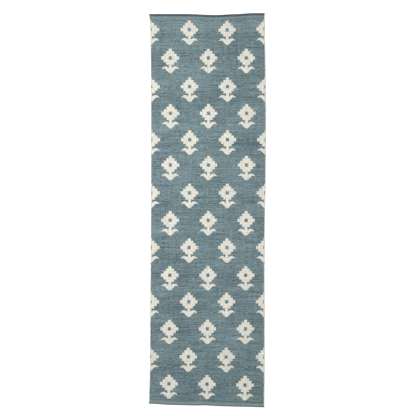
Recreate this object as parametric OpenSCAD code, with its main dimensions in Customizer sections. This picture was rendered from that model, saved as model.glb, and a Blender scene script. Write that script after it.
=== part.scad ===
// Flat-woven runner rug with rows of ivory flowers, lying flat.
// X runs across the width, +Y along the length to the far end, +Z is up.
// The origin is the middle of the underside. All sizes are in millimetres.

/* [Rug] */
// Width over both selvedges
rug_w = 700; // [600:10:900]
// Length over both end cords
rug_l = 2400; // [2300:50:2600]
// Thickness of the woven cloth
cloth_t = 6; // [5:0.5:8]

/* [Flowers] */
// Flower columns across the width
columns = 3; // [2:1:4]
// Warp ribs in one column
column_ribs = 48; // [46:2:56]
// Weft picks from one flower row to the next
row_picks = 65; // [64:1:68]
// Weft picks between the end of the rug and the first flower
margin_picks = 16; // [14:1:18]
// How much of the hand-woven rows' unevenness to keep, 0 for even rows
uneven_beat = 1; // [0:0.25:1]

/* [Warp] */
// Diameter of one warp thread
warp_d = 2; // [1.2:0.1:2.4]
// Diameter of the warp cord inside each selvedge
core_d = 2.8; // [2:0.2:3.4]
// Width of the overcast selvedge
selvedge_w = 4.6; // [4:0.2:6]

/* [Ends] */
// Width of the turned hem
hem_w = 14; // [10:1:20]
// Height of the turned hem
hem_h = 9.5; // [8:0.5:12]
// Diameter of one row of the twined end cord
end_cord_d = 5; // [4:0.5:6]
// Width of the near end cord that the near hem leaves in sight
cord_in_sight = 2; // [0:0.5:4]
// Length of one hem stitch
stitch_l = 7; // [5:1:9]
// Distance from one hem stitch to the next
stitch_pitch = 12; // [10:1:16]
// Width of one hem stitch
stitch_w = 1.6; // [1:0.2:2]

/* [Fold] */
// Gap between the two halves at the fold line
fold_gap = 0.4; // [0.3:0.1:1]

/* [Hidden] */
rows = 14;
far = 1;
near = -1;
left = -1;
right = 1;

rib_w = rug_w / (columns * column_ribs);
flower_picks = 58;
pick_w = rug_l / ((rows - 1) * row_picks + flower_picks + 2 * margin_picks);

field_w = rug_w - 2 * selvedge_w;
field_end = rug_l / 2 - 2 * end_cord_d - hem_w;
cord_start = rug_l / 2 - 2 * end_cord_d;

// Small gap that a warp thread needs between the two faces of weft
warp_play = 0.1;
warp_room = warp_d + warp_play;
warp_low = (cloth_t - warp_room) / 2;
warp_high = (cloth_t + warp_room) / 2;
side_wall = 1.5;
core_sides = 12;
// Share of the selvedge's width that is flat, next to the field
selvedge_flat = 0.4;
arc_step = 15;

// Stepped diamond of a flower, from its tip: each step's half width in ribs and height in picks.
steps = [[2, 6], [5, 6], [8, 6], [11, 8], [8, 6], [5, 6]];
eye_half = 2;
eye_step = 3;
// Right side of the stem, then its leaf round the crest and tip to the flower's base,
// in thirds of a rib from the axis and picks from the flower's tip.
stem_and_leaf = [
    [5, 38], [6, 45.4], [8, 45], [11, 43.2], [14, 42.2], [18, 42], [22, 42.6], [26, 44], [30, 46],
    [32, 48.6], [26, 47.7], [22, 47.5], [18, 48.8], [6, 57], [4, 58]
];
// How far uneven beating has carried each flower row towards the far end, from row 1 to row 14.
row_drift = [1, -5.5, -14, -10, -4.5, 7, 3.5, 2.5, 3, 0.5, 5, 6, 1.5, -1];

function flower_row_name(i) = str("flower_row_", i < 10 ? "0" : "", i);

// Picks from the flower's tip to the top of step s.
function step_top(s) = s == 0 ? 0 : step_top(s - 1) + steps[s - 1][1];

function half_flower() = concat(
    [for (s = [0:len(steps) - 1], k = [0, 1]) [steps[s][0], step_top(s) + k * steps[s][1]]],
    [for (p = stem_and_leaf) [p[0] / 3, p[1]]]
);

// A point in ribs and picks becomes one in millimetres, measured from the flower's tip.
function woven(p) = [p[0] * rib_w, -p[1] * pick_w];

function row_tip_y(i) =
    rug_l / 2 - (margin_picks + (i - 1) * row_picks) * pick_w + uneven_beat * row_drift[i - 1];

// Odd rows have a flower on each selvedge, and even rows lie half a column to the side.
function flower_xs(i) =
    i % 2 == 1
    ? [for (c = [0:columns]) (c - columns / 2) * rug_w / columns]
    : [for (c = [0:columns - 1]) (c - (columns - 1) / 2) * rug_w / columns];

module flower_with_eye() {
    right_side = half_flower();
    left_side = [for (k = [len(right_side) - 1:-1:0]) [-right_side[k][0], right_side[k][1]]];
    polygon([for (p = concat(right_side, left_side)) woven(p)]);
}

module eye() {
    translate(woven([-eye_half, step_top(eye_step) + steps[eye_step][1]]))
        square([2 * eye_half * rib_w, steps[eye_step][1] * pick_w]);
}

// Repeats one flower's shape along its row. A half flower ends at the selvedge.
module in_row(i) {
    intersection() {
        for (x = flower_xs(i))
            translate([x, row_tip_y(i)]) children();
        square([field_w, rug_l], center = true);
    }
}

// Weft lies above and below the warp threads.
module on_both_faces() {
    linear_extrude(warp_low) children();
    translate([0, 0, warp_high]) linear_extrude(cloth_t - warp_high) children();
}

function first_row(end) = end == far ? 1 : rows / 2 + 1;
function rows_of(end) = [first_row(end):first_row(end) + rows / 2 - 1];

// One half of the field, from near the fold line to the hem, pulled in by a wall at the hem and sides.
module half_field(end, wall = 0, start = fold_gap / 2) {
    depth = field_end - wall - start;
    translate([0, end * (start + depth / 2)]) square([field_w - 2 * wall, depth], center = true);
}

// The two faces of the ground weft are joined along the selvedges and the hem.
module ground_weave(end) {
    color([0.44, 0.52, 0.54]) {
        on_both_faces() difference() {
            half_field(end);
            for (i = rows_of(end)) in_row(i) flower_with_eye();
        }
        translate([0, 0, warp_low])
            linear_extrude(warp_room)
                difference() {
                    half_field(end);
                    half_field(end, side_wall, 0);
                }
    }
}

// Each eye is a patch of ground weft of its own, with flower all round it.
module flower_eyes(end) {
    color([0.44, 0.52, 0.54])
        for (i = rows_of(end)) on_both_faces() in_row(i) eye();
}

// One thread in each rib; the outermost rib on each side is the selvedge's own cord.
module warp_threads(end) {
    thread_l = field_end - side_wall - fold_gap / 2;
    color([0.86, 0.83, 0.76])
        for (k = [1:columns * column_ribs - 2])
            translate([(k + 0.5) * rib_w - rug_w / 2, end * (fold_gap / 2 + thread_l / 2), cloth_t / 2])
                rotate([90, 0, 0]) cylinder(d = warp_d, h = thread_l, center = true, $fn = 24);
}

module flower_row(i) {
    color([0.88, 0.87, 0.82])
        on_both_faces() in_row(i) difference() {
            flower_with_eye();
            eye();
        }
}

// Runs a profile drawn in X and Z along Y, from the fold line to the end cord.
module along_selvedge(end) {
    run = cord_start - fold_gap / 2;
    translate([0, end * (fold_gap / 2 + run / 2), 0])
        rotate([90, 0, 0]) linear_extrude(run, center = true) children();
}

module core_profile(side) {
    translate([side * (rug_w / 2 - selvedge_w / 2), cloth_t / 2]) circle(d = core_d, $fn = core_sides);
}

// Flat where it meets the field, and round on the outside.
module wrap_profile(side) {
    inner = field_w / 2;
    flat = selvedge_w * selvedge_flat;
    bulge = selvedge_w - flat;
    difference() {
        polygon(concat(
            [[side * inner, 0]],
            [for (a = [-90:arc_step:90])
                [side * (inner + flat + bulge * cos(a)), cloth_t / 2 * (1 + sin(a))]],
            [[side * inner, cloth_t]]
        ));
        core_profile(side);
    }
}

module selvedge_core(side, end) {
    color([0.86, 0.83, 0.76]) along_selvedge(end) core_profile(side);
}

module selvedge_wrap(side, end) {
    color([0.74, 0.75, 0.71]) along_selvedge(end) wrap_profile(side);
}

// Turned cloth with a rounded top. The near hem also reaches out over the rolled end cord.
module hem_profile(reach) {
    shoulder = end_cord_d;
    crown = hem_h - shoulder;
    half = (hem_w + reach) / 2;
    union() {
        square([hem_w, shoulder]);
        polygon([for (a = [0:arc_step:180]) [half * (1 + cos(a)), shoulder + crown * sin(a)]]);
    }
}

module end_hem(end) {
    reach = end == near ? 2 * end_cord_d - cord_in_sight : 0;
    color([0.51, 0.59, 0.59])
        scale([1, end, 1])
            translate([0, field_end, 0])
                rotate([90, 0, 90]) linear_extrude(field_w, center = true) hem_profile(reach);
}

// Short stitches on the field, close to the foot of the hem.
module hem_stitches(end) {
    count = floor((field_w - stitch_l) / stitch_pitch);
    stitch_y = end * (field_end - stitch_w);
    color([0.62, 0.67, 0.68])
        for (k = [0:count])
            translate([(k - count / 2) * stitch_pitch, stitch_y, cloth_t])
                rotate([90, 0, 90])
                    linear_extrude(stitch_l, center = true)
                        intersection() {
                            circle(d = stitch_w, $fn = 24);
                            translate([-stitch_w, 0]) square(2 * stitch_w);
                        }
}

// Two rows of twined cord, side by side, across the whole width.
module end_cord(end) {
    color([0.25, 0.34, 0.42])
        for (k = [0.5, 1.5])
            translate([0, end * (cord_start + k * end_cord_d), end_cord_d / 2])
                rotate([0, 90, 0]) cylinder(d = end_cord_d, h = rug_w, center = true, $fn = 32);
}

ground_weave(far);  // ground_weave_far
ground_weave(near);  // ground_weave_near
flower_eyes(far);  // flower_eyes_far
flower_eyes(near);  // flower_eyes_near
warp_threads(far);  // warp_threads_far
warp_threads(near);  // warp_threads_near
for (i = [1:rows])
    flower_row(i);
selvedge_core(left, far);  // left_selvedge_core_far
selvedge_core(left, near);  // left_selvedge_core_near
selvedge_wrap(left, far);  // left_selvedge_wrap_far
selvedge_wrap(left, near);  // left_selvedge_wrap_near
selvedge_core(right, far);  // right_selvedge_core_far
selvedge_core(right, near);  // right_selvedge_core_near
selvedge_wrap(right, far);  // right_selvedge_wrap_far
selvedge_wrap(right, near);  // right_selvedge_wrap_near
end_hem(far);  // far_end_hem
end_hem(near);  // near_end_hem
hem_stitches(far);  // far_hem_stitches
hem_stitches(near);  // near_hem_stitches
end_cord(far);  // far_end_cord
end_cord(near);  // near_end_cord
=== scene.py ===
"""Flat-woven runner rug with rows of ivory flowers, lying flat on a pale floor.

Every piece is first laid out on the loom's own grid: u across the width, v along the length and z up
through the cloth, in metres from the middle of the underside. lie() then gives it the small errors of a
hand-woven rug. The bodies and every overall size come from the frame.
"""

import math

import bpy
import numpy as np
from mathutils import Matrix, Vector
from mathutils.geometry import delaunay_2d_cdt


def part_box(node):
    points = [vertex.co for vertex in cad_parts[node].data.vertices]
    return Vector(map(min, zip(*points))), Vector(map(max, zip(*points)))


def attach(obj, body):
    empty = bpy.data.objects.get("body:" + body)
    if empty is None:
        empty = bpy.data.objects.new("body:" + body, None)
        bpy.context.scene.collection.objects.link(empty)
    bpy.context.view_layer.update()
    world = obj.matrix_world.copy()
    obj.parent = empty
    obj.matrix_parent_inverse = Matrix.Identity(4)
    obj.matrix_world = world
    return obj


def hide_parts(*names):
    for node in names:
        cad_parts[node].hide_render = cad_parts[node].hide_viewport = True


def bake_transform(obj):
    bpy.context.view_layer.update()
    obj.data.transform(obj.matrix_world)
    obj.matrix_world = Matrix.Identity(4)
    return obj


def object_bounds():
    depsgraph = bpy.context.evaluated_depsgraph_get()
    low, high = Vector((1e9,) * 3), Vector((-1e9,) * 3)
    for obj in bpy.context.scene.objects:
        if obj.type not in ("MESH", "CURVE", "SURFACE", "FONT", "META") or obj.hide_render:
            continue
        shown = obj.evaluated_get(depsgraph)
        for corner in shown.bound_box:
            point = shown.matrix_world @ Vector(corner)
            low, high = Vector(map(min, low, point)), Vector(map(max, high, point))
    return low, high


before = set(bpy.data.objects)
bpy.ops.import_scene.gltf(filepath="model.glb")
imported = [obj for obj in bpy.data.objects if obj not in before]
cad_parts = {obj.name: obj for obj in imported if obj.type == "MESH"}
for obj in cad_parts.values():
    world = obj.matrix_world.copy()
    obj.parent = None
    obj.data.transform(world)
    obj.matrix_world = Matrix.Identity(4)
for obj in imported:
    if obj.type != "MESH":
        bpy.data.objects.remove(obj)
cad_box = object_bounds()

MM = 0.001
TAU = 2 * math.pi

# ---------------------------------------------------------------- sizes, from the frame
RUG_W = cad_box[1][0] - cad_box[0][0]
RUG_L = cad_box[1][1] - cad_box[0][1]
FIELD_HALF_W, FIELD_END, CLOTH_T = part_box("ground_weave_far")[1]
CORD_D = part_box("far_end_cord")[1][2]
CORD_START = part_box("far_end_cord")[0][1]
HEM_W = CORD_START - FIELD_END
HEM_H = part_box("far_end_hem")[1][2]
NEAR_REACH = -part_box("near_end_hem")[0][1] - CORD_START
WARP_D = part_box("warp_threads_far")[1][2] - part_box("warp_threads_far")[0][2]
CORE_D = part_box("left_selvedge_core_far")[1][2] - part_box("left_selvedge_core_far")[0][2]
CORE_U = sum(p[0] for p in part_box("right_selvedge_core_far")) / 2
THREAD_R = 0.8 * MM
STITCH_L = 7 * MM
STITCH_PITCH = 12 * MM
STITCH_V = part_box("far_hem_stitches")[0][1] + THREAD_R

# ---------------------------------------------------------------- the loom's grid
COLUMNS = 3
ROWS = 14
COLUMN_RIBS = 48
ROW_PICKS = 65
MARGIN_PICKS = 16
FLOWER_PICKS = 58
RIBS = COLUMNS * COLUMN_RIBS
RIB = RUG_W / RIBS
PICK = RUG_L / ((ROWS - 1) * ROW_PICKS + FLOWER_PICKS + 2 * MARGIN_PICKS)
FIRST_RIB, LAST_RIB = 1, RIBS - 1

# Stepped diamond from its tip: each step's half width in ribs and height in picks.
STEPS = ((2, 6), (5, 6), (8, 6), (11, 8), (8, 6), (5, 6))
EYE_HALF, EYE_STEP = 2, 3
# Right side of the stem, then its leaf round the crest and tip to the base, each point in thirds of a rib
# from the flower's axis and picks from its tip.
STEM_AND_LEAF = (
    (5, 38), (6, 45.4), (8, 45), (11, 43.2), (14, 42.2), (18, 42), (22, 42.6), (26, 44), (30, 46),
    (32, 48.6), (26, 47.7), (22, 47.5), (18, 48.8), (6, 57), (4, 58),
)

# How far uneven beating has carried each row from its even place, towards the far end, in mm.
ROW_DRIFT = (1, -5.5, -14, -10, -4.5, 7, 3.5, 2.5, 3, 0.5, 5, 6, 1.5, -1)

# The cloth is cut across at each step this far on each side of the fold line.
FOLD_REACH = 12 * MM
FOLD_STEP = 1.5 * MM
# Picks from a flower's tip at which the cloth is cut across, so that no face is very long.
FLOWER_LINES = (0, 18, 38, 58)
# Depth of the valley between two ribs.
VALLEY = 0.5 * MM


def row_tip(i):
    """Where the tips of flower row i lie."""
    return RUG_L / 2 - (MARGIN_PICKS + (i - 1) * ROW_PICKS) * PICK + ROW_DRIFT[i - 1] * MM


def flower_axes(i):
    """The ribs on which the flowers of row i are centred."""
    start = 0 if i % 2 else COLUMN_RIBS // 2
    return list(range(start, RIBS + 1, COLUMN_RIBS))


def step_top(s):
    """Picks from the flower's tip to the top of step s."""
    return sum(height for _, height in STEPS[:s])


def right_outline():
    """The right side of a flower from tip to base, in (ribs from its axis, picks from its tip)."""
    points = []
    for s, (half, height) in enumerate(STEPS):
        points += [(half, step_top(s)), (half, step_top(s) + height)]
    return points + [(third / 3, pick) for third, pick in STEM_AND_LEAF]


def counterclockwise(shape):
    twice_area = sum(a[0] * b[1] - b[0] * a[1] for a, b in zip(shape, shape[1:] + shape[:1]))
    return shape if twice_area > 0 else shape[::-1]


def flower_outlines(i, axis):
    """The flower's outline and its eye, as lists of (ribs, metres along v)."""
    tip = row_tip(i)
    eye_top, eye_foot = step_top(EYE_STEP), step_top(EYE_STEP) + STEPS[EYE_STEP][1]
    right = right_outline()
    left = [(-x, p) for x, p in reversed(right)]
    if axis in (0, RIBS):  # a half flower, cut by the selvedge
        side = 1 if axis == 0 else -1
        outline = [(1, 0)] + right + [(1, FLOWER_PICKS)]
        eye = [(1, eye_top), (EYE_HALF, eye_top), (EYE_HALF, eye_foot), (1, eye_foot)]
        outline = [(side * x, p) for x, p in outline]
        eye = [(side * x, p) for x, p in eye]
    else:
        outline = right + left
        eye = [(-EYE_HALF, eye_top), (EYE_HALF, eye_top), (EYE_HALF, eye_foot), (-EYE_HALF, eye_foot)]
    return [counterclockwise([(axis + x, tip - p * PICK) for x, p in shape]) for shape in (outline, eye)]


# ---------------------------------------------------------------- how the rug lies
def ramp(x):
    """Rises smoothly from 0 to 1 while x goes from 0 to 1."""
    x = np.clip(x, 0, 1)
    return x * x * (3 - 2 * x)


def mound(x, centre, half_width):
    """A smooth mound of height 1."""
    return np.exp(-(((x - centre) / half_width) ** 2))


def lie(points):
    """Takes loom points (u, v, z) to where they lie. across and along run from -1 to 1 over the rug.

    The whole width sways from side to side, the flowers draw in towards the middle, each selvedge and each
    end wanders by itself, and shallow ripples run across. The ripples die out at the fold and before the
    hems, so that the two ends still meet flat when the rug is folded.
    """
    u, v, z = np.asarray(points, float).T
    across, along = u / (RUG_W / 2), v / (RUG_L / 2)
    sway = (2.6 + 6.7 * along - 5.4 * along**2 - 3.0 * along**3) * MM
    draw_in = -4 * across * (1 - across**2) * MM
    left_edge = -3.5 - 1.7 * along - 6 * ramp((along - 0.9) / 0.1) - 3 * ramp((-along - 0.85) / 0.1)
    right_edge = -0.2 + 2.8 * np.cos(TAU * (v - 0.5) / 1.5)
    wander = np.where(across < 0, left_edge, right_edge) * np.abs(across) ** 3 * MM
    far_edge = 1 - 6.5 * mound(across, 0.1, 0.3) + 5 * ramp((across - 0.5) / 0.3)
    near_edge = 1.2 - 9 * across + 2.5 * mound(across, -0.02, 0.12) + 4 * ramp((-across - 0.65) / 0.3)
    slip = (far_edge * ramp((along - 0.8) / 0.2) + near_edge * ramp((-along - 0.68) / 0.32)) * MM
    ripple = 0.7 * MM * (1 + np.sin(TAU * (v / 0.71 + 0.16 * across)))
    ripple += 0.5 * MM * (1 + np.sin(TAU * (v / 0.43 - 0.3 * across + 0.3)))
    ripple *= ramp((np.abs(v) - 0.02) / 0.2) * ramp((0.975 - np.abs(along)) / 0.1)
    return np.column_stack([u + sway + draw_in + wander, v + slip, z + ripple])


# ---------------------------------------------------------------- mesh helpers
def make_piece(name, points, faces, cloth_uv, material, sharp_deg=40):
    """A mesh object whose cloth UV map holds where each point lies on the loom."""
    mesh = bpy.data.meshes.new(name)
    mesh.from_pydata(np.asarray(points).tolist(), [], faces)
    mesh.update()
    uv = mesh.uv_layers.new(name="cloth")
    corner = np.empty(len(mesh.loops), dtype=np.int32)
    mesh.loops.foreach_get("vertex_index", corner)
    uv.data.foreach_set("uv", np.asarray(cloth_uv, np.float32)[corner].ravel())
    mesh.shade_smooth()
    mesh.set_sharp_from_angle(angle=math.radians(sharp_deg))
    mesh.materials.append(material)
    piece = bpy.data.objects.new(name, mesh)
    bpy.context.scene.collection.objects.link(piece)
    return piece


def tube_faces(rings, sides, base=0):
    """Quads round a tube of rings, with a face on each end."""
    faces = []
    for r in range(rings - 1):
        a, b = base + r * sides, base + (r + 1) * sides
        faces += [(a + k, a + (k + 1) % sides, b + (k + 1) % sides, b + k) for k in range(sides)]
    last = base + (rings - 1) * sides
    faces.append(tuple(base + k for k in reversed(range(sides))))
    faces.append(tuple(last + k for k in range(sides)))
    return faces


def lengthwise_stations(step):
    """Places along v for a thread that runs the whole length, close together at the fold."""
    half = RUG_L / 2
    outside = np.arange(FOLD_REACH + step, half, step)
    inside = np.arange(0, FOLD_REACH + FOLD_STEP / 2, FOLD_STEP)
    return np.unique(np.concatenate([-outside, -inside, inside, outside]).round(6))


def thread_along(stations, u, z, diameter, sides):
    """A straight round thread along v: loom points and faces from index 0."""
    angle = np.arange(sides) * TAU / sides
    points = [
        (u + diameter / 2 * math.cos(a), v, z + diameter / 2 * math.sin(a))
        for v in stations
        for a in -angle
    ]
    return np.array(points), tube_faces(len(stations), sides)


def join_parts(parts):
    """Several (points, faces) as one."""
    points, faces, base = [], [], 0
    for part_points, part_faces in parts:
        points.append(part_points)
        faces += [tuple(base + k for k in face) for face in part_faces]
        base += len(part_points)
    return np.concatenate(points), faces


# ---------------------------------------------------------------- the woven field
def strip_lines(i):
    """Lines across the strip of cloth that holds flower row i, from its near side to its far side."""
    tip, foot = row_tip(i), row_tip(i) - FLOWER_PICKS * PICK
    high = FIELD_END if i == 1 else (row_tip(i - 1) - FLOWER_PICKS * PICK + tip) / 2
    low = -FIELD_END if i == ROWS else (foot + row_tip(i + 1)) / 2
    fold = np.arange(-FOLD_REACH, FOLD_REACH + FOLD_STEP / 2, FOLD_STEP)
    lines = [low, high] + [tip - p * PICK for p in FLOWER_LINES] + [v for v in fold if low < v < high]
    return sorted(set(round(v, 6) for v in lines))


def strip_faces(i):
    """The faces of one strip as lists of (ribs, v) corners, each with 0 for ground or 1 for ivory."""
    lines = strip_lines(i)
    ribs = [FIRST_RIB + k / 3 for k in range(3 * (LAST_RIB - FIRST_RIB) + 1)]
    scale = 1 / RIB  # so that both directions are in ribs for the triangulation
    verts = [Vector((x, v * scale)) for v in lines for x in ribs]
    wide = len(ribs)
    edges = [(j * wide + k, j * wide + k + 1) for j in range(len(lines)) for k in range(wide - 1)]
    edges += [(j * wide + k, (j + 1) * wide + k) for j in range(len(lines) - 1) for k in range(wide)]
    outlines = []
    for axis in flower_axes(i):
        for shape in flower_outlines(i, axis):
            outlines.append(tuple(range(len(verts), len(verts) + len(shape))))
            verts += [Vector((x, round(v, 6) * scale)) for x, v in shape]
    out = delaunay_2d_cdt(verts, edges, outlines, 4, 1e-4)
    places = [(round(p[0], 4), round(p[1] * RIB, 6)) for p in out[0]]
    for face, inside in zip(out[2], out[5]):
        yield [places[k] for k in face], int(len(inside) == 1)


def surface_dip(ribs):
    """How far the cloth's face lies below the crest of its ribs."""
    to_valley = np.abs(ribs - np.round(ribs))
    return VALLEY * np.clip(1 - 3 * to_valley, 0, 1)


def closed_cloth(flat_faces):
    """A closed slab with both faces ribbed, from flat faces with (ribs, v) corners."""
    index, faces = {}, []
    for corners in flat_faces:
        face = list(dict.fromkeys(index.setdefault(place, len(index)) for place in corners))
        if len(face) > 2:
            faces.append(face)
    n = len(index)
    ribs, v = np.array(list(index)).T
    u = ribs * RIB - RUG_W / 2
    dip = surface_dip(ribs)
    points = np.concatenate([np.column_stack([u, v, CLOTH_T - dip]), np.column_stack([u, v, dip])])
    directed = {(a, b) for face in faces for a, b in zip(face, face[1:] + face[:1])}
    walls = [(b, a, a + n, b + n) for a, b in directed if (b, a) not in directed]
    under = [[k + n for k in reversed(face)] for face in faces]
    return points, faces + under + sorted(walls)


def field_pieces(ground_material, ivory_material):
    ground, flowers = [], []
    for i in range(1, ROWS + 1):
        row = []
        for corners, ivory in strip_faces(i):
            (row if ivory else ground).append(corners)
        flowers.append(row)
    points, faces = closed_cloth(ground)
    pieces = [make_piece("blue_ground_weave", lie(points), faces, points[:, :2], ground_material)]
    for i, row in enumerate(flowers, 1):
        points, faces = closed_cloth(row)
        pieces.append(make_piece(f"ivory_flowers_{i:02d}", lie(points), faces, points[:, :2], ivory_material))
    return pieces


def warp_piece(material):
    stations = lengthwise_stations(100 * MM)
    stations = stations[np.abs(stations) < FIELD_END - 2 * MM]
    ends = FIELD_END - 2 * MM
    stations = np.concatenate([[-ends], stations, [ends]])
    parts = [
        thread_along(stations, (k + 0.5) * RIB - RUG_W / 2, CLOTH_T / 2, WARP_D, 6)
        for k in range(FIRST_RIB, LAST_RIB)
    ]
    points, faces = join_parts(parts)
    return make_piece("warp_cotton_threads", lie(points), faces, points[:, :2], material)


# ---------------------------------------------------------------- selvedges
WRAP_PITCH = 3.4 * MM
WRAP_SIDES = 10
WRAP_RINGS_PER_TURN = 6
WRAP_GIRTH = 16 * MM
# The yarn's crests stand a little proud of the selvedge in the frame, and its grooves lie a little inside.
WRAP_HALF_W = (RUG_W / 2 - FIELD_HALF_W) / 2 + 0.8 * MM
WRAP_HALF_H = CLOTH_T / 2 + 0.4 * MM
WRAP_CENTRE = RUG_W / 2 - WRAP_HALF_W + 0.5 * MM
WRAP_GROOVE = 0.2


def core_piece(side, name, material):
    """The thick warp cord inside a selvedge."""
    stations = lengthwise_stations(40 * MM)
    stations = stations[np.abs(stations) < CORD_START - MM]
    points, faces = thread_along(stations, side * CORE_U, CLOTH_T / 2, CORE_D, 8)
    return make_piece(name, lie(points), faces, points[:, :2], material)


def wrap_piece(side, name, material):
    """Yarn wound round the edge: a tube that swells at each turn. Its UV runs round it and along the yarn."""
    length = 2 * CORD_START
    rings = int(length / WRAP_PITCH * WRAP_RINGS_PER_TURN)
    v = np.repeat(np.linspace(-CORD_START, CORD_START, rings), WRAP_SIDES)
    turn = np.tile(np.arange(WRAP_SIDES) / WRAP_SIDES, rings)
    swell = np.abs(np.sin(math.pi * (v / WRAP_PITCH + turn)))
    round_out = 1 - WRAP_GROOVE * (1 - np.sqrt(swell))
    angle = -TAU * (turn + 0.25)
    u = side * WRAP_CENTRE + WRAP_HALF_W * round_out * np.cos(angle)
    z = WRAP_HALF_H * (1 + round_out * np.sin(angle))
    uv = np.column_stack([turn * WRAP_GIRTH, v + turn * WRAP_PITCH])
    return make_piece(name, lie(np.column_stack([u, v, z])), tube_faces(rings, WRAP_SIDES), uv, material)


# ---------------------------------------------------------------- ends
HEM_CHAMFER = 0.8 * MM


def hem_profile(reach):
    """Outline of the turned cloth, as (distance from the field, height), over its top and round its foot.

    With reach, the top goes on over the end cord, and the outline steps back under it.
    """
    shoulder, half = CORD_D, (HEM_W + reach) / 2
    arc = [math.radians(a) for a in range(0, 181, 12)]
    top = [(half * (1 + math.cos(a)), shoulder + (HEM_H - shoulder) * math.sin(a)) for a in arc]
    foot = [(0, 0), (HEM_W - HEM_CHAMFER, 0), (HEM_W, HEM_CHAMFER)]
    step = [(HEM_W, shoulder)] if reach else []
    return top + foot + step


def hem_piece(end, name, material):
    """The turned cloth, with the warp ribs running over it."""
    profile = hem_profile(NEAR_REACH if end < 0 else 0)
    sides = len(profile)
    middle = np.array(profile).mean(0)
    across = np.arange(3 * FIRST_RIB, 3 * LAST_RIB + 1) / 3
    points, uv = [], []
    for ribs in across:
        u = ribs * RIB - RUG_W / 2
        shrink = 1 - float(surface_dip(ribs)) / CLOTH_T
        for s, z in profile:
            s2 = middle[0] + (s - middle[0]) * shrink
            z2 = middle[1] + (z - middle[1]) * shrink
            points.append((u, end * (FIELD_END + s2), max(z2, 0)))
            uv.append((u, s))
    faces = tube_faces(len(across), sides)
    if end > 0:
        faces = [tuple(reversed(face)) for face in faces]
    return make_piece(name, lie(points), faces, uv, material)


def stitch_piece(end, name, material):
    """Short running stitches at the foot of the hem, each a thread that comes up and goes down again."""
    sides, steps = 8, 9
    sunk, arch = 0.6 * MM, 1.2 * MM  # its ends lie in the cloth, and its middle stands above it
    count = int((2 * FIELD_HALF_W - STITCH_L) / STITCH_PITCH)
    parts = []
    for k in range(count + 1):
        centre = (k - count / 2) * STITCH_PITCH
        points = []
        for t in np.linspace(-1, 1, steps):
            radius = THREAD_R * math.sqrt(max(0.08, 1 - t**6))
            rise = CLOTH_T - sunk + arch * (1 - t**4)
            for a in np.arange(sides) * TAU / sides:
                points.append((
                    centre + t * STITCH_L / 2,
                    end * STITCH_V + radius * math.cos(a),
                    rise + radius * math.sin(a),
                ))
        parts.append((np.array(points), tube_faces(steps, sides)))
    points, faces = join_parts(parts)
    return make_piece(name, lie(points), faces, points[:, :2], material)


def cord_piece(end, name, material):
    """Two rows of two-ply cord, twined in opposite directions."""
    sides, rings_per_turn, turn_l = 8, 10, 9 * MM
    strand_r, offset, row_pitch = 0.3 * CORD_D, 0.2 * CORD_D, 0.92 * CORD_D
    rings = int(RUG_W / turn_l * rings_per_turn)
    parts = []
    for row in (0, 1):
        for ply in (0, 1):
            points = []
            for u in np.linspace(-RUG_W / 2, RUG_W / 2, rings):
                twist = (1 - 2 * row) * TAU * u / turn_l + math.pi * ply
                v0 = CORD_START + CORD_D / 2 + row * row_pitch + offset * math.cos(twist)
                z0 = CORD_D / 2 + offset * math.sin(twist)
                for a in np.arange(sides) * TAU / sides:
                    points.append((u, end * (v0 + strand_r * math.cos(a)), z0 + strand_r * math.sin(a)))
            parts.append((np.array(points), tube_faces(rings, sides)))
    points, faces = join_parts(parts)
    return make_piece(name, lie(points), faces, points[:, :2], material)


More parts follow.
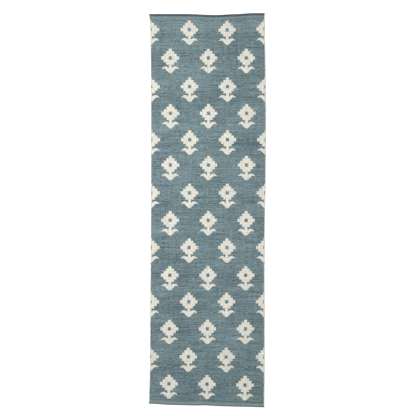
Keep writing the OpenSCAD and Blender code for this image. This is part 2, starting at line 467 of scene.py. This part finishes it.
# ---------------------------------------------------------------- materials
class Nodes:
    """Short calls for a material's node tree."""

    def __init__(self, name, roughness, sheen):
        self.material = bpy.data.materials.new(name)
        self.material.use_nodes = True
        self.tree = self.material.node_tree
        self.shader = self.tree.nodes["Principled BSDF"]
        self.shader.inputs["Roughness"].default_value = roughness
        self.shader.inputs["Specular IOR Level"].default_value = 0.15
        self.shader.inputs["Sheen Weight"].default_value = sheen
        self.shader.inputs["Sheen Roughness"].default_value = 0.6
        cloth = self.tree.nodes.new("ShaderNodeUVMap")
        cloth.uv_map = "cloth"
        split = self.tree.nodes.new("ShaderNodeSeparateXYZ")
        self.join(cloth.outputs["UV"], split.inputs[0])
        self.u, self.v = split.outputs[0], split.outputs[1]

    def join(self, output, socket):
        self.tree.links.new(output, socket)

    def math(self, operation, a, b=0.0, clamp=False):
        node = self.tree.nodes.new("ShaderNodeMath")
        node.operation = operation
        node.use_clamp = clamp
        for socket, value in zip(node.inputs, (a, b)):
            if isinstance(value, (int, float)):
                socket.default_value = value
            else:
                self.join(value, socket)
        return node.outputs[0]

    def noise(self, per_u, per_v, seed, detail=2.0):
        """Noise with per_u and per_v features to the metre, around 0."""
        place = self.tree.nodes.new("ShaderNodeCombineXYZ")
        self.join(self.math("MULTIPLY", self.u, per_u), place.inputs[0])
        self.join(self.math("MULTIPLY", self.v, per_v), place.inputs[1])
        place.inputs[2].default_value = seed
        noise = self.tree.nodes.new("ShaderNodeTexNoise")
        noise.inputs["Scale"].default_value = 1.0
        noise.inputs["Detail"].default_value = detail
        self.join(place.outputs[0], noise.inputs["Vector"])
        return self.math("SUBTRACT", noise.outputs[0], 0.5)

    def total(self, start, *terms):
        """start plus each (value, weight)."""
        out = start
        for value, weight in terms:
            out = self.math("ADD", self.math("MULTIPLY", value, weight), out)
        return out

    def mix(self, factor, a, b):
        node = self.tree.nodes.new("ShaderNodeMix")
        node.data_type = "RGBA"
        if isinstance(factor, float):
            node.inputs["Factor"].default_value = factor
        else:
            self.join(factor, node.inputs["Factor"])
        for socket, value in ((node.inputs["A"], a), (node.inputs["B"], b)):
            if isinstance(value, tuple):
                socket.default_value = (*value, 1)
            else:
                self.join(value, socket)
        return node.outputs["Result"]

    def scale_colour(self, colour, factor):
        node = self.tree.nodes.new("ShaderNodeVectorMath")
        node.operation = "SCALE"
        self.join(colour, node.inputs[0])
        self.join(factor, node.inputs["Scale"])
        return node.outputs[0]

    def colours(self, value, *stops):
        """A ramp through (place, colour) stops."""
        node = self.tree.nodes.new("ShaderNodeValToRGB")
        elements = node.color_ramp.elements
        while len(elements) < len(stops):
            elements.new(0.5)
        for element, (place, colour) in zip(elements, stops):
            element.position = place
            element.color = (*colour, 1)
        self.join(value, node.inputs[0])
        return node.outputs[0]

    def finish(self, colour, height=None, depth=0.0):
        self.join(colour, self.shader.inputs["Base Color"])
        if height is not None:
            bump = self.tree.nodes.new("ShaderNodeBump")
            bump.inputs["Distance"].default_value = depth
            bump.inputs["Strength"].default_value = 0.8
            self.join(height, bump.inputs["Height"])
            self.join(bump.outputs[0], self.shader.inputs["Normal"])
        return self.material


def linear(r, g, b):
    """An 8-bit display colour as linear light."""
    return tuple(((c / 255 + 0.055) / 1.055) ** 2.4 for c in (r, g, b))


def weave_height(n):
    """Weft beads: one to each rib and pick, shifted by half a pick from rib to rib."""
    rib = n.math("DIVIDE", n.u, RIB)
    odd = n.math("MODULO", n.math("ADD", n.math("FLOOR", rib), 2.0 * RIBS), 2.0)
    uneven = n.noise(150, 150, 8.0)
    pick = n.total(n.math("DIVIDE", n.v, PICK), (odd, 0.5), (uneven, 0.5))
    hump = n.math("ABSOLUTE", n.math("SINE", n.math("MULTIPLY", rib, math.pi)))
    bead = n.math("ABSOLUTE", n.math("SINE", n.math("MULTIPLY", pick, math.pi)))
    round_bead = n.math("MULTIPLY", n.math("POWER", hump, 0.4), n.math("POWER", bead, 0.7))
    fibre = n.noise(600, 1500, 4.0, 3.0)
    return n.total(0.0, (round_bead, 1.0), (fibre, 0.45))


def shade_weave(n, colour, height, darkest, lightest):
    """Darkens the gaps between beads, where little light reaches."""
    light = n.math("ADD", n.math("MULTIPLY", height, lightest - darkest), darkest)
    return n.scale_colour(colour, light)


def ground_material():
    """Heathered blue-grey weft: streaks and flecks along each pick, and bands where a bobbin was changed. Its
    tone also rises towards the far end as painted light.
    """
    n = Nodes("blue_grey_weft", 0.92, 0.12)
    streak = n.noise(9, 190, 1.0, 3.0)
    fleck = n.noise(60, 390, 2.0, 2.0)
    fine = n.noise(40, 390, 6.0, 1.0)
    cloud = n.noise(4, 4, 3.0)
    ribs = n.noise(110, 2.5, 5.0, 1.0)
    bobbin = n.noise(0.8, 85, 9.0)
    batch = n.noise(0.6, 11, 10.0, 1.0)
    # The two terms in v make the weft lighter towards the far end and darkest at the near end: painted light,
    # standing in for the falloff of the light along the rug.
    tone = n.total(
        0.485, (streak, 2.0), (fleck, 2.8), (fine, 0.9), (cloud, 0.5), (ribs, 0.4), (bobbin, 0.65),
        (batch, 0.75), (n.v, 0.035), (n.math("MULTIPLY", n.v, n.v), -0.02))
    tone = n.math("ADD", tone, 0.0, clamp=True)
    colour = n.mix(tone, linear(26, 54, 62), linear(166, 190, 193))
    hue = n.math("ADD", n.total(0.5, (n.noise(20, 110, 7.0), 2.8)), 0.0, clamp=True)
    tinted = n.mix(hue, linear(99, 118, 138), linear(106, 128, 120))
    colour = n.mix(0.5, colour, tinted)
    height = weave_height(n)
    return n.finish(shade_weave(n, colour, height, 0.81, 1.19), height, 0.9 * MM)


def ivory_material():
    """Ivory weft of the flowers, with single darker yarns."""
    n = Nodes("ivory_weft", 0.9, 0.1)
    streak = n.noise(12, 150, 11.0)
    ribs = n.noise(140, 4, 12.0, 1.0)
    fleck = n.noise(90, 260, 13.0, 2.0)
    tone = n.math("ADD", n.total(0.5, (streak, 0.9), (ribs, 0.8), (fleck, 2.5)), 0.0, clamp=True)
    colour = n.mix(tone, linear(198, 196, 182), linear(242, 240, 229))
    height = weave_height(n)
    return n.finish(shade_weave(n, colour, height, 0.94, 1.15), height, 0.9 * MM)


def cotton_material():
    """Undyed twisted cotton of the warp threads and selvedge cores."""
    n = Nodes("undyed_cotton", 0.9, 0.1)
    tone = n.math("ADD", n.total(0.5, (n.noise(900, 300, 13.0), 1.5)), 0.0, clamp=True)
    colour = n.mix(tone, linear(196, 188, 170), linear(226, 220, 204))
    return n.finish(colour, n.noise(900, 500, 14.0), 0.3 * MM)


def selvedge_material():
    """Overcast yarn, each turn a little paler or greyer than the next."""
    n = Nodes("selvedge_yarn", 0.9, 0.12)
    turn = n.math("DIVIDE", n.v, WRAP_PITCH)
    ridge = n.math("ABSOLUTE", n.math("SINE", n.math("MULTIPLY", turn, math.pi)))
    yarn = n.tree.nodes.new("ShaderNodeTexWhiteNoise")
    yarn.noise_dimensions = "1D"
    n.join(n.math("FLOOR", turn), yarn.inputs["W"])
    drift, fibre = n.noise(3, 60, 21.0), n.noise(300, 100, 22.0)
    tone = n.total(0.35, (drift, 1.6), (yarn.outputs["Value"], 0.5), (fibre, 0.5))
    colour = n.mix(n.math("ADD", tone, 0.0, clamp=True), linear(164, 172, 168), linear(240, 238, 227))
    height = n.total(0.0, (n.math("POWER", ridge, 0.6), 1.0), (n.noise(300, 1500, 23.0), 0.4))
    return n.finish(shade_weave(n, colour, height, 0.78, 1.08), height, 0.9 * MM)


def hem_material(name, *bands):
    """Turned cloth whose colour changes through bands from the field to its outer edge. The bands are painted
    light: the paler bands stand in for light on the hem's ridge, and the darker bands further out stand in
    for shade on its outer slope.
    """
    n = Nodes(name, 0.92, 0.12)
    streak = n.noise(14, 200, 31.0)
    # The colour bands across the hem: painted highlight along its ridge and painted shade on its outer slope.
    lit_and_shaded_band = n.colours(n.math("DIVIDE", n.v, HEM_W + NEAR_REACH), *bands)
    shade = n.total(1.0, (streak, 0.5), (n.noise(60, 60, 32.0), 0.4))
    height = weave_height(n)
    colour = shade_weave(n, n.scale_colour(lit_and_shaded_band, shade), height, 0.76, 1.12)
    return n.finish(colour, height, 0.9 * MM)


def thread_material():
    """Pale grey sewing thread."""
    n = Nodes("hem_thread", 0.75, 0.1)
    tone = n.math("ADD", n.total(0.5, (n.noise(1500, 400, 41.0), 1.5)), 0.0, clamp=True)
    colour = n.mix(tone, linear(138, 152, 156), linear(176, 186, 186))
    return n.finish(colour, n.noise(1500, 500, 42.0), 0.2 * MM)


def cord_material():
    """Navy twined cotton."""
    n = Nodes("navy_cord", 0.88, 0.12)
    wear, fibre = n.noise(60, 300, 51.0), n.noise(700, 700, 52.0)
    tone = n.math("ADD", n.total(0.5, (wear, 1.4), (fibre, 0.8)), 0.0, clamp=True)
    colour = n.mix(tone, linear(38, 60, 80), linear(80, 103, 118))
    return n.finish(colour, n.noise(900, 1200, 53.0), 0.3 * MM)


# ---------------------------------------------------------------- build
ground = ground_material()
ivory = ivory_material()
cotton = cotton_material()
selvedge = selvedge_material()
thread = thread_material()
navy = cord_material()
# Far hem: palest next to the field as painted light, darkening to navy further out as painted shade on the
# slope towards the cord.
far_cloth = hem_material(
    "far_hem_cloth",
    (0.0, linear(150, 166, 166)), (0.1, linear(140, 157, 158)), (0.24, linear(124, 142, 144)),
    (0.38, linear(110, 127, 132)), (0.48, linear(84, 102, 111)), (0.56, linear(60, 79, 94)))
# Near hem: palest over its middle as painted light on the ridge, darker towards its outer edge as painted
# shade.
near_cloth = hem_material(
    "near_hem_cloth",
    (0.0, linear(120, 136, 138)), (0.15, linear(132, 148, 149)), (0.38, linear(143, 158, 157)),
    (0.58, linear(132, 147, 147)), (0.74, linear(117, 132, 133)), (1.0, linear(94, 110, 114)))

FAR, NEAR = "far_half", "near_half"
fold_start, fold_end = (0, FOLD_REACH, 0), (0, -FOLD_REACH, 0)


def across_fold(piece, slot, *nodes):
    """A piece that runs through the fold: hides its parts in the frame and bakes its transform."""
    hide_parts(*nodes)
    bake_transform(piece)
    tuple(fold_start)
    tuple(fold_end)


def on_half(piece, body, node):
    """A piece that lies on one half only."""
    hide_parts(node)
    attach(piece, body)


field, *flowers = field_pieces(ground, ivory)
across_fold(
    field, "ground_weft", "ground_weave_far", "ground_weave_near", "flower_eyes_far", "flower_eyes_near")
for i, piece in enumerate(flowers, 1):
    node = f"flower_row_{i:02d}"
    tip, foot = row_tip(i), row_tip(i) - FLOWER_PICKS * PICK
    if tip > -FOLD_REACH and foot < FOLD_REACH:
        across_fold(piece, "ivory_weft", node)
    else:
        on_half(piece, FAR if foot > 0 else NEAR, node)

warp = warp_piece(cotton)
across_fold(warp, "warp_cotton", "warp_threads_far", "warp_threads_near")
trim = []
for side, word in ((-1, "left"), (1, "right")):
    core = core_piece(side, f"{word}_edge_cord", cotton)
    across_fold(core, "warp_cotton", f"{word}_selvedge_core_far", f"{word}_selvedge_core_near")
    wrap = wrap_piece(side, f"{word}_edge_overcasting", selvedge)
    across_fold(wrap, "selvedge_yarn", f"{word}_selvedge_wrap_far", f"{word}_selvedge_wrap_near")
    trim += [core, wrap]
for end, word, body, cloth in ((1, "far", FAR, far_cloth), (-1, "near", NEAR, near_cloth)):
    hem = hem_piece(end, f"{word}_turned_hem", cloth)
    on_half(hem, body, f"{word}_end_hem")
    stitches = stitch_piece(end, f"{word}_running_stitches", thread)
    on_half(stitches, body, f"{word}_hem_stitches")
    cord = cord_piece(end, f"{word}_twined_cord", navy)
    on_half(cord, body, f"{word}_end_cord")
    trim += [hem, stitches, cord]

# ---------------------------------------------------------------- floor, light and camera
# Width of the view at the floor, and the camera's height above it. It is nearly free of perspective.
VIEW_W = 2.54592
CAMERA_H = 12.0


def make_floor():
    """A white floor that curves up into a low wall far away, glowing a little so that it stays white."""
    profile = [(0, 0), (30, 0), (34, 0.6), (37, 2.2), (38, 5), (38, 9)]
    around = 48
    verts = [(0, 0, 0)] + [
        (radius * math.cos(TAU * k / around), radius * math.sin(TAU * k / around), height)
        for radius, height in profile[1:]
        for k in range(around)
    ]
    faces = [(0, 1 + k, 1 + (k + 1) % around) for k in range(around)]
    for ring in range(len(profile) - 2):
        a = 1 + ring * around
        for k in range(around):
            nxt = (k + 1) % around
            faces.append((a + k, a + around + k, a + around + nxt, a + nxt))
    mesh = bpy.data.meshes.new("floor")
    mesh.from_pydata(verts, [], faces)
    mesh.shade_smooth()
    n = Nodes("white_floor", 0.9, 0.0)
    n.shader.inputs["Base Color"].default_value = (0.9, 0.9, 0.9, 1)
    n.shader.inputs["Emission Color"].default_value = (1, 1, 1, 1)
    n.shader.inputs["Emission Strength"].default_value = 0.4
    mesh.materials.append(n.material)
    floor = bpy.data.objects.new("floor", mesh)
    bpy.context.scene.collection.objects.link(floor)


def make_lights():
    world = bpy.data.worlds.new("studio")
    bpy.context.scene.world = world
    world.use_nodes = True
    background = world.node_tree.nodes["Background"]
    background.inputs["Color"].default_value = (1, 1, 1, 1)
    background.inputs["Strength"].default_value = 0.62
    lights = (
        ("far_softbox", (-0.9, 0.6, 2.2), 1.2, 24),
        ("near_softbox", (-1.2, -0.8, 3.0), 1.6, 15),
    )
    for name, place, size, watts in lights:
        area = bpy.data.lights.new(name, "AREA")
        area.size = size
        area.energy = watts
        lamp = bpy.data.objects.new(name, area)
        lamp.location = place
        aim = Vector((0, 0.25, 0)) - lamp.location
        lamp.rotation_euler = aim.to_track_quat("-Z", "Y").to_euler()
        bpy.context.scene.collection.objects.link(lamp)


def make_camera():
    camera = bpy.data.cameras.new("camera")
    camera.sensor_width = 36
    camera.lens = camera.sensor_width * CAMERA_H / VIEW_W
    camera.clip_end = 100
    holder = bpy.data.objects.new("camera", camera)
    holder.location = (0.6 * MM, 12.5 * MM, CAMERA_H)
    bpy.context.scene.collection.objects.link(holder)
    bpy.context.scene.camera = holder


make_floor()
make_lights()
make_camera()
bpy.context.scene.view_settings.view_transform = "Standard"
